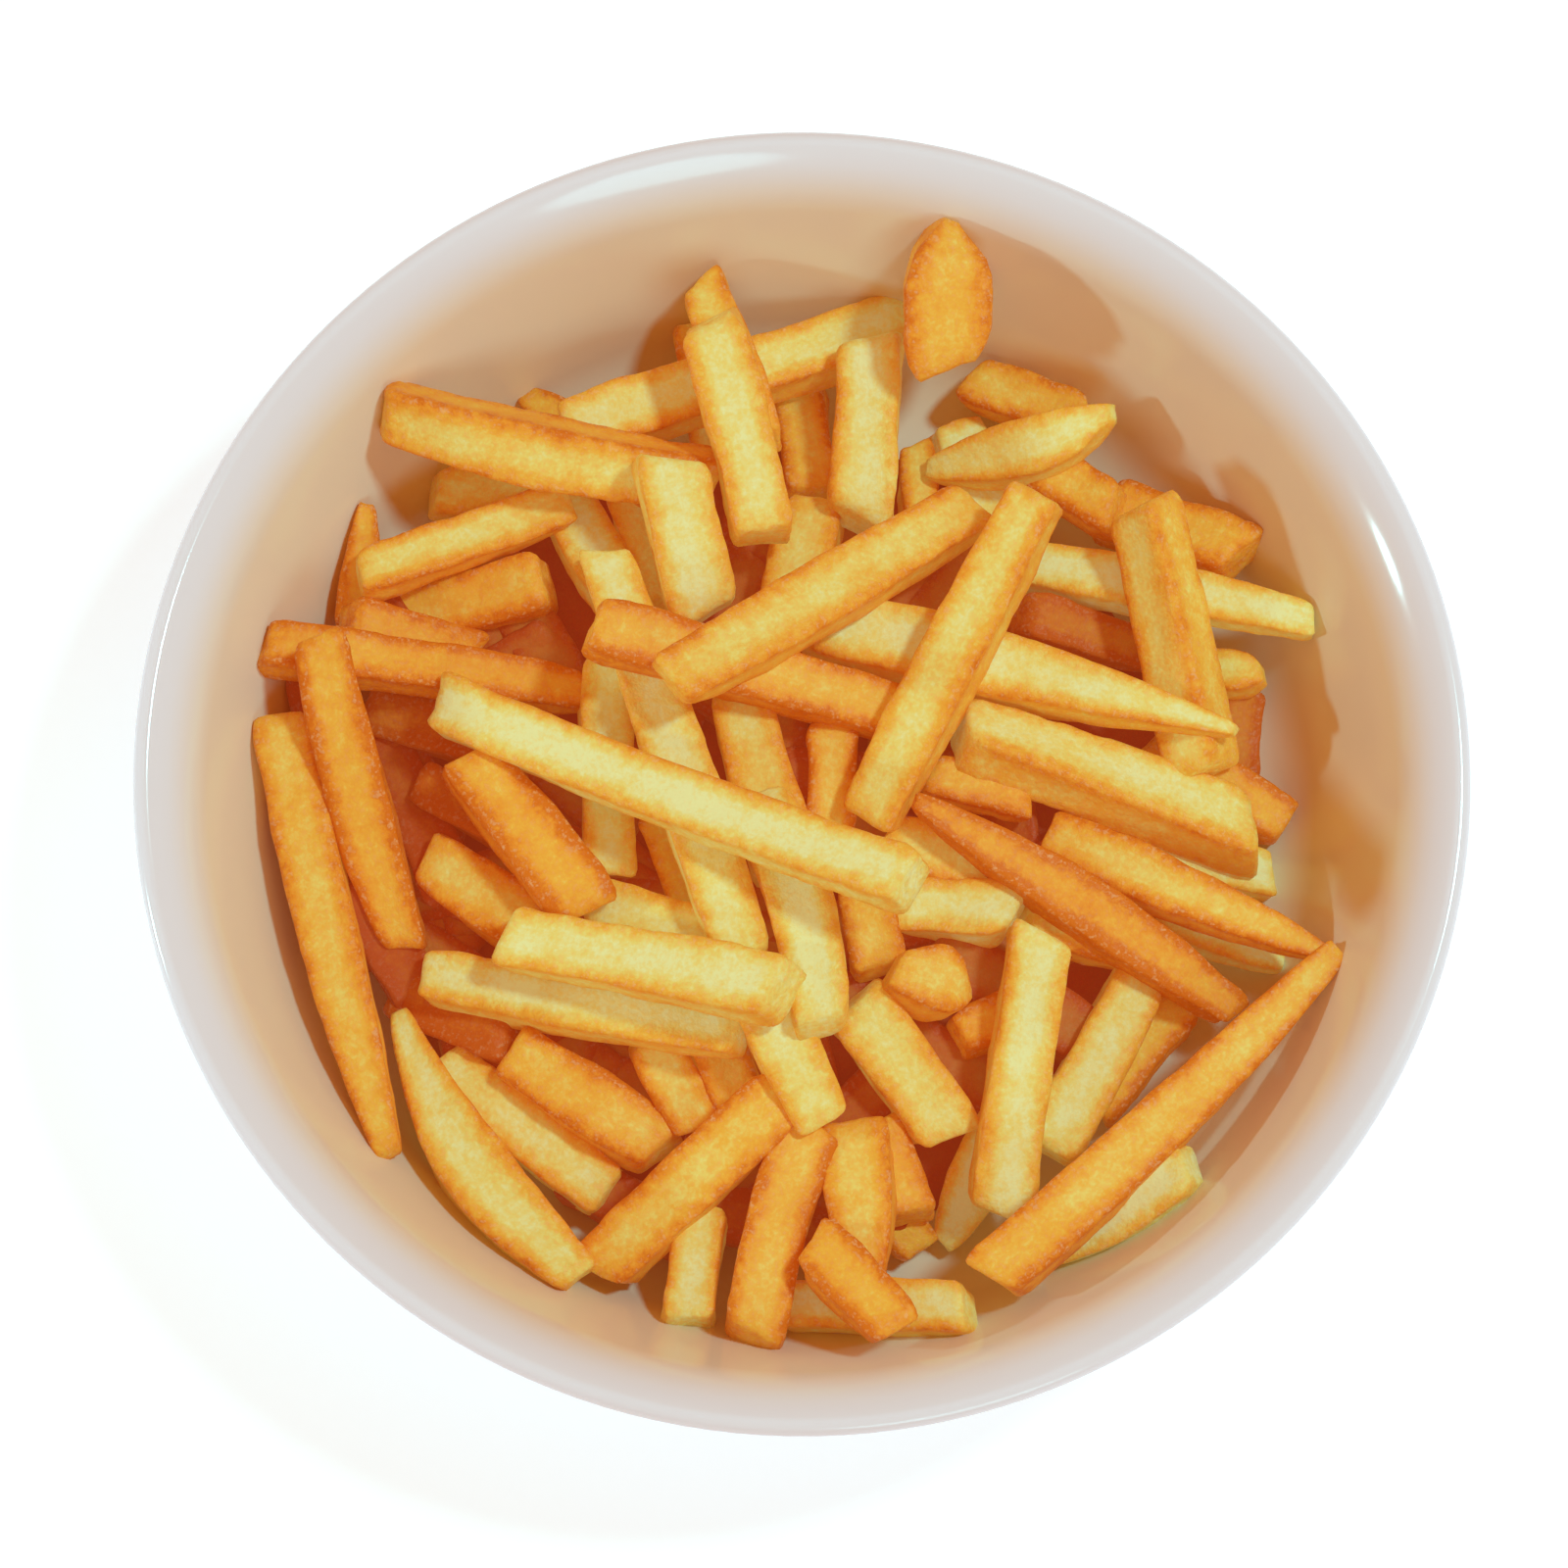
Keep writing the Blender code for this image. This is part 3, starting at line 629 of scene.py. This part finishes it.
class FryShaper:
    """Stretches, bends and roughens unit batons into fries."""

    def __init__(self):
        self.batons = {}

    def baton(self, length):
        """The places of a unit baton's points and its mesh, with cuts to suit the length."""
        cuts = 5 + int(length / 1.9)
        if cuts not in self.batons:
            mesh = unit_baton(cuts, 3)
            self.batons[cuts] = (np.array([vert.co for vert in mesh.verts]), mesh)
        return self.batons[cuts]

    def add(self, heap, fry, start, end, rng):
        """Add one fry that lies from start to end to the mesh heap."""
        length = float(np.linalg.norm(end - start))
        unit, mesh = self.baton(length)
        seed = rng.uniform(0, 100)
        raw, share, tip = self.cut(fry, unit, length, seed, rng)
        side, rise = self.bend(fry, raw, share, rng)
        forward = (end - start) / length
        sideways = np.array([-forward[1], forward[0], 0.0])
        sideways /= np.linalg.norm(sideways)
        up = np.cross(forward, sideways)
        middle = (start + end) / 2
        corner = np.abs(unit[:, 1]) + np.abs(unit[:, 2])
        self.join(heap, mesh, {
            "co": middle + raw[:, :1] * forward + side[:, None] * sideways + rise[:, None] * up,
            "grain": raw + np.array([seed, 0.7 * seed, 1.3 * seed]) / MM,
            "edge": np.maximum(smooth_step(1.15, 1.85, corner), 0.85 * smooth_step(0.3, 1.0, tip)),
            # The tone takes in the painted shade of the side faces.
            "tone": fry.tone + self.flank_browning_and_shade(unit, rng),
        })

    @staticmethod
    def cut(fry, unit, length, seed, rng):
        """A straight fry along X, with the share of its length and the nearness to an end of each point."""
        half = fry.width / 2
        rounding = half * rng.uniform(0.3, 0.8)
        middle = np.clip(unit[:, 0] / FLAT, -1, 1)
        beyond = unit[:, 0] - middle * FLAT
        along = middle * (length / 2 - rounding) + beyond / (1 - FLAT) * rounding
        share = np.clip(along / length + 0.5, 0.0, 1.0)
        tip = np.clip(1 - np.minimum(share, 1 - share) * length / (half * 1.2), 0.0, 1.0)
        width = fry_width(fry, share) / 2 * SLIMNESS * (1 + 0.05 * np.sin(share * rng.uniform(3, 8) + seed))
        depth = width * THICKNESS_SHARE * rng.uniform(0.9, 1.04)
        hollow = rng.uniform(0.02, 0.08) * (1 - tip)
        side = unit[:, 1] * (1 - hollow * (1 - unit[:, 2] ** 2)) * width
        rise = unit[:, 2] * (1 - hollow * (1 - unit[:, 1] ** 2)) * depth
        for way in (-1, 1):
            near = tip * (np.sign(share - 0.5) == way)
            along = along + near * (side * rng.uniform(-0.45, 0.45) + rise * rng.uniform(-0.35, 0.35))
        raw = np.stack([along, side, rise], axis=1)
        lumps = wobble(raw, 6.0, seed) * (0.35 + 0.25 * tip)
        crumbs = wobble(raw, 2.2, seed + 40) * (0.15 + 0.30 * tip)
        push = 1 + (lumps + crumbs) / half
        raw[:, 1:] *= push[:, None]
        raw[:, 0] += 0.7 * (lumps + crumbs) * tip * np.sign(unit[:, 0])
        return raw, share, tip

    @staticmethod
    def bend(fry, raw, share, rng):
        """How far each point lies beside its fry's axis and above it, once rolled, twisted and bowed."""
        turn = math.radians(fry.roll + rng.uniform(-6, 6))
        turn = turn + math.radians(rng.uniform(-16, 16)) * (share - 0.5)
        bow = 4 * share * (1 - share)
        side = raw[:, 1] * np.cos(turn) - raw[:, 2] * np.sin(turn)
        side += bow * (fry.bow + rng.uniform(-0.4, 0.4))
        rise = raw[:, 1] * np.sin(turn) + raw[:, 2] * np.cos(turn)
        rise -= bow * rng.uniform(-0.2, 0.8)
        return side, rise

    @staticmethod
    def flank_browning_and_shade(unit, rng):
        """How much browner than the rest each long face is: the two side faces most, partly browning that
        differs at random and partly painted shade on faces turned from the light above, the top face a
        touch.
        """
        sides = rng.uniform(0.18, 0.42), rng.uniform(0.18, 0.42)
        brown = np.where(unit[:, 1] > 0, *sides) * smooth_step(0.5, 1.0, np.abs(unit[:, 1]))
        return brown + rng.uniform(0.0, 0.08) * smooth_step(0.5, 1.0, unit[:, 2])

    @staticmethod
    def join(heap, mesh, values):
        """Add a copy of a mesh to the heap, with its points moved and their attributes set."""
        data = bpy.data.meshes.new("fry")
        mesh.to_mesh(data)
        data.vertices.foreach_set("co", (values["co"] * MM).ravel())
        grain = data.attributes.new("grain", "FLOAT_VECTOR", "POINT")
        grain.data.foreach_set("vector", (values["grain"] * MM).ravel())
        for name in ("edge", "tone"):
            data.attributes.new(name, "FLOAT", "POINT").data.foreach_set("value", values[name])
        heap.from_mesh(data)
        bpy.data.meshes.remove(data)


def lay_heap():
    """Each fry that shows, with the places of its two ends, from the lowest to the highest."""
    pile = Pile()
    return [(fry, *pile.lay(fry)) for fry in HEAP]


def hidden_fries(count, rng):
    """The fries of UNDER, then others half sunk in the mound, which lie every way."""
    pile = Pile()
    for fry in UNDER:
        start, end = pile.lay(fry)
        yield fry, start - SINK, end - SINK
    for _ in range(count):
        spread = MOUND_RADIUS * MIDDLES_WITHIN * math.sqrt(rng.random())
        place = rng.uniform(0, 2 * math.pi)
        turn = rng.uniform(0, math.pi)
        half = rng.uniform(14, 26)
        ends = []
        for way in (-half, half):
            x = MOUND_X + spread * math.cos(place) + way * math.cos(turn)
            y = MOUND_Y + spread * math.sin(place) + way * math.sin(turn)
            reach = math.hypot(x - MOUND_X, y - MOUND_Y)
            shrink = min(1.0, MOUND_RADIUS * ENDS_WITHIN / reach)
            x, y = MOUND_X + (x - MOUND_X) * shrink, MOUND_Y + (y - MOUND_Y) * shrink
            level = max(mound_level(reach * shrink) - rng.uniform(0.5, 4.0), LOWEST_AXIS)
            ends.append(np.array([x, y, level]))
        # Their dark tones are partly painted shade of the gaps.
        yield Fry("baton", 0, 0, 0, 0, rng.uniform(8.5, 10.5), rng.uniform(0.5, 0.8)), *ends


class BowlSettings(bpy.types.PropertyGroup):
    """The bowl's size and glaze."""

    segments: IntProperty(
        name="Segments", description="Facets round the bowl", default=160, min=24,
    )
    lip_colour: FloatVectorProperty(
        name="Lip", description="Colour of the lip and the outside", subtype="COLOR",
        default=(0.84, 0.84, 1.0),
    )
    # The wall's cream colour is painted warm light bounced from the fries onto white glaze.
    wall_bounce_colour: FloatVectorProperty(
        name="Wall", description="Colour of the bowl's inside", subtype="COLOR", default=(0.86, 0.70, 0.53),
    )
    roughness: FloatProperty(
        name="Roughness", description="How matt the glaze is", subtype="FACTOR", default=0.12, min=0, max=1,
    )


class FriesSettings(bpy.types.PropertyGroup):
    """The colours and the crust of the fries, from the palest to the brownest."""

    seed: IntProperty(name="Seed", description="Changes how each fry is bent and blistered", default=11)
    hidden: IntProperty(name="Hidden fries", description="Fries in the gaps of the heap", default=46, min=0)
    pale_colour: FloatVectorProperty(
        name="Pale", description="The palest faces", subtype="COLOR", default=(0.76, 0.74, 0.36),
    )
    yellow_colour: FloatVectorProperty(
        name="Yellow", description="Lightly fried faces", subtype="COLOR", default=(0.77, 0.61, 0.16),
    )
    golden_colour: FloatVectorProperty(
        name="Golden", description="Well fried faces", subtype="COLOR", default=(0.80, 0.42, 0.055),
    )
    orange_colour: FloatVectorProperty(
        name="Orange", description="Edges and ends", subtype="COLOR", default=(0.78, 0.28, 0.027),
    )
    brown_colour: FloatVectorProperty(
        name="Brown", description="The brownest ends", subtype="COLOR", default=(0.66, 0.16, 0.012),
    )
    # The bubbles are painted highlights, pale specks for glints on the oily crust.
    painted_glint_colour: FloatVectorProperty(
        name="Bubbles", description="Dry bubbles in the crust", subtype="COLOR", default=(0.86, 0.66, 0.36),
    )
    # The deep colour is painted shade: the dark red of fries down in the gaps, lit only by the fries round
    # them.
    gap_shade_colour: FloatVectorProperty(
        name="Deep", description="The fries down in the gaps", subtype="COLOR",
        default=(0.36, 0.036, 0.012),
    )
    # The glow is painted light, an emission in place of light seeping through the fries.
    painted_glow: FloatProperty(
        name="Glow", description="Light that seeps through the fries", subtype="FACTOR",
        default=0.15, min=0, max=1,
    )
    roughness: FloatProperty(
        name="Roughness", description="How matt the crust is", subtype="FACTOR", default=0.42, min=0, max=1,
    )
    relief: FloatProperty(
        name="Relief", description="How deep the blisters are", subtype="FACTOR", default=0.6, min=0, max=1,
    )


class StageSettings(bpy.types.PropertyGroup):
    """The camera, the lights and the floor."""

    lens: FloatProperty(name="Lens", description="Focal length in millimetres", default=100.0)
    high: FloatProperty(
        name="High light", description="Power of the light up on the right, in watts", default=7.6,
    )
    front: FloatProperty(
        name="Front light", description="Power of the soft light in front, in watts", default=2.6,
    )
    low: FloatProperty(
        name="Low light", description="Power of the light low on the left, in watts", default=0.6,
    )
    sky: FloatProperty(name="Sky", description="Strength of the even light all round", default=0.5)
    light_colour: FloatVectorProperty(
        name="Lights", description="Colour of the lights", subtype="COLOR", default=(0.42, 0.94, 1.0),
    )
    sky_colour: FloatVectorProperty(
        name="Sky colour", description="Colour of the even light", subtype="COLOR",
        default=(1.2, 0.50, 0.12), max=2.0,
    )
    floor_colour: FloatVectorProperty(
        name="Floor", description="Colour of the floor", subtype="COLOR", default=(0.65, 0.65, 0.65),
    )
    floor_glow: FloatVectorProperty(
        name="Floor glow", description="Light of the floor itself, which makes up for the warm sky",
        subtype="COLOR", default=(0.46, 0.56, 0.61),
    )


class MakeBowl(bpy.types.Operator):
    """Turn the bowl and glaze it"""

    bl_idname = "fries.make_bowl"
    bl_label = "Make the bowl"

    def execute(self, context):
        settings = context.scene.bowl
        mesh = turned_mesh(bowl_profile(), settings.segments)
        self.mark_inside(mesh)
        add_piece("bowl_glazed", mesh, glaze_finish(settings), "bowl_glaze", "bowl")
        return {"FINISHED"}

    @staticmethod
    def mark_inside(mesh):
        """Mark the inner wall, which takes the painted warm bounce light, with the mark fading out over the
        lip.
        """
        radii, levels, _ = (np.array(values) for values in zip(*inner_profile(12, 8)))
        layer = mesh.verts.layers.float.new("inside")
        for vert in mesh.verts:
            radius, level = math.hypot(vert.co.x, vert.co.y) / MM, vert.co.z / MM
            inner = np.interp(radius, radii, levels)
            fade = 1 - float(smooth_step(PAINTED_BOUNCE_END, WHITE_START, radius))
            vert[layer] = float(level > inner - 0.5) * fade


class MakeFries(bpy.types.Operator):
    """Lay the fries that show, joined into one piece for each kind"""

    bl_idname = "fries.make_fries"
    bl_label = "Make the fries"

    def execute(self, context):
        settings = context.scene.fries
        shaper = FryShaper()
        heaps = {name: bmesh.new() for name, _, _ in KINDS}
        rng = random.Random(settings.seed)
        for fry, start, end in lay_heap():
            kind = next(name for name, darkest, _ in KINDS if fry.tone <= darkest)
            shaper.add(heaps[kind], fry, start, end, rng)
        for name, _, depth in KINDS:
            material = crust_finish(f"crust_of_{name}", settings, depth)
            add_piece(name, heaps[name], material, "fried_potato", "fries_heap")
        return {"FINISHED"}


class MakeCore(bpy.types.Operator):
    """Fill the heap's inside: a core, and the fries that show through the gaps"""

    bl_idname = "fries.make_core"
    bl_label = "Make the core"

    def execute(self, context):
        settings = context.scene.fries
        shaper = FryShaper()
        rng = random.Random(settings.seed + 1)
        heap = bmesh.new()
        for fry, start, end in hidden_fries(settings.hidden, rng):
            shaper.add(heap, fry, start, end, rng)
        material = crust_finish("crust_with_painted_gap_shade", settings, UNDER_SHADE_SHARE)
        add_piece("fries_under", heap, material, "fried_potato", "fries_heap")
        radii = [MOUND_RADIUS * share for share in (0.93, 0.85, 0.7, 0.5, 0.3, 0.0)]
        bottom = FLOOR_LEVEL + CORE_LIFT
        side = [(radius, float(mound_level(radius)) - CORE_DROP) for radius in radii]
        core = turned_mesh([(0.0, bottom), (radii[0], bottom), *side], 48)
        bmesh.ops.translate(core, verts=core.verts, vec=(MOUND_X * MM, MOUND_Y * MM, 0.0))
        core.verts.layers.float.new("edge")
        tone = core.verts.layers.float.new("tone")
        grain = core.verts.layers.float_vector.new("grain")
        for vert in core.verts:
            vert[tone] = CORE_SHADED_TONE
            vert[grain] = vert.co
        material = crust_finish("core_crust_with_painted_shade", settings, CORE_SHADE_SHARE)
        add_piece("fries_core", core, material, "fried_potato", "fries_heap")
        return {"FINISHED"}


class SetStage(bpy.types.Operator):
    """Set the floor, the lights and the camera"""

    bl_idname = "fries.set_stage"
    bl_label = "Set the stage"

    def execute(self, context):
        scene = context.scene
        settings = scene.stage
        self.lay_floor(scene, settings)
        colour = settings.light_colour
        self.add_light("high", settings.high, colour, size=0.16, distance=1.2, azimuth=22, elevation=62)
        self.add_light("front", settings.front, colour, size=0.5, distance=1.2, azimuth=288, elevation=35)
        self.add_light("low", settings.low, colour, size=0.04, distance=0.45, azimuth=186, elevation=15)
        self.light_sky(scene, settings)
        self.aim_camera(scene, settings)
        scene.view_settings.view_transform = "Standard"
        return {"FINISHED"}

    @staticmethod
    def lay_floor(scene, settings):
        """A wide pale floor just under the bowl's foot."""
        mesh = bmesh.new()
        bmesh.ops.create_grid(mesh, x_segments=1, y_segments=1, size=3.0)
        data = bpy.data.meshes.new("floor")
        mesh.to_mesh(data)
        mesh.free()
        finish = Finish("floor", 0.6)
        finish.set("Base Color", (*settings.floor_colour, 1.0))
        finish.set("Emission Color", (*settings.floor_glow, 1.0))
        finish.set("Emission Strength", 1.0)
        data.materials.append(finish.material)
        floor = bpy.data.objects.new("floor", data)
        floor.location.z = -0.0002
        scene.collection.objects.link(floor)
        floor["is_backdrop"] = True

    @staticmethod
    def light_sky(scene, settings):
        """Even light all round."""
        world = bpy.data.worlds.new("sky")
        world.use_nodes = True
        background = world.node_tree.nodes["Background"]
        background.inputs["Color"].default_value = (*settings.sky_colour, 1.0)
        background.inputs["Strength"].default_value = settings.sky
        scene.world = world

    @staticmethod
    def aim_camera(scene, settings):
        """A camera at the point from which the heap was laid out."""
        camera = bpy.data.cameras.new("camera")
        camera.lens = settings.lens
        camera.sensor_width = 36.0
        eye = bpy.data.objects.new("camera", camera)
        distance = SIGHT_DISTANCE * MM
        rim = BOWL_HEIGHT * MM
        eye.location = (0.0, -distance * math.sin(SIGHT_TILT), rim + distance * math.cos(SIGHT_TILT))
        eye.rotation_euler = (Vector(AIM) - eye.location).to_track_quat("-Z", "Y").to_euler()
        scene.collection.objects.link(eye)
        scene.camera = eye

    @staticmethod
    def add_light(name, power, colour, size, distance, azimuth, elevation):
        """A round lamp turned to the rim's middle, with its size and distance in metres."""
        lamp = bpy.data.lights.new(name, "AREA")
        lamp.energy = power
        lamp.color = colour
        lamp.shape = "DISK"
        lamp.size = size
        light = bpy.data.objects.new(name, lamp)
        turn, tilt = math.radians(azimuth), math.radians(elevation)
        way = Vector((math.cos(tilt) * math.cos(turn), math.cos(tilt) * math.sin(turn), math.sin(tilt)))
        light.location = Vector((0, 0, BOWL_HEIGHT * MM)) + way * distance
        light.rotation_euler = way.to_track_quat("Z", "Y").to_euler()
        bpy.context.scene.collection.objects.link(light)


class FriesPanel(bpy.types.Panel):
    """The steps and the values of the model"""

    bl_idname = "VIEW3D_PT_fries"
    bl_label = "French fries"
    bl_space_type = "VIEW_3D"
    bl_region_type = "UI"
    bl_category = "Fries"

    def draw(self, context):
        for step in STEPS:
            self.layout.operator(step.bl_idname)
        for settings in (context.scene.bowl, context.scene.fries, context.scene.stage):
            box = self.layout.box()
            for name in settings.__annotations__:
                box.prop(settings, name)


SETTINGS = {"bowl": BowlSettings, "fries": FriesSettings, "stage": StageSettings}
STEPS = (MakeBowl, MakeCore, MakeFries, SetStage)


def register():
    for kind in (*SETTINGS.values(), *STEPS, FriesPanel):
        bpy.utils.register_class(kind)
    for name, settings in SETTINGS.items():
        setattr(bpy.types.Scene, name, PointerProperty(type=settings))


def unregister():
    for name in SETTINGS:
        delattr(bpy.types.Scene, name)
    for kind in (FriesPanel, *STEPS, *SETTINGS.values()):
        bpy.utils.unregister_class(kind)


def main():
    register()
    bpy.ops.fries.make_bowl()
    bpy.ops.fries.make_core()
    bpy.ops.fries.make_fries()
    bpy.ops.fries.set_stage()
    boxes = {"cad": CAD_BOX, "scene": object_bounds()}
    {name: [list(corner) for corner in box] for name, box in boxes.items()}


if __name__ == "__main__":
    main()
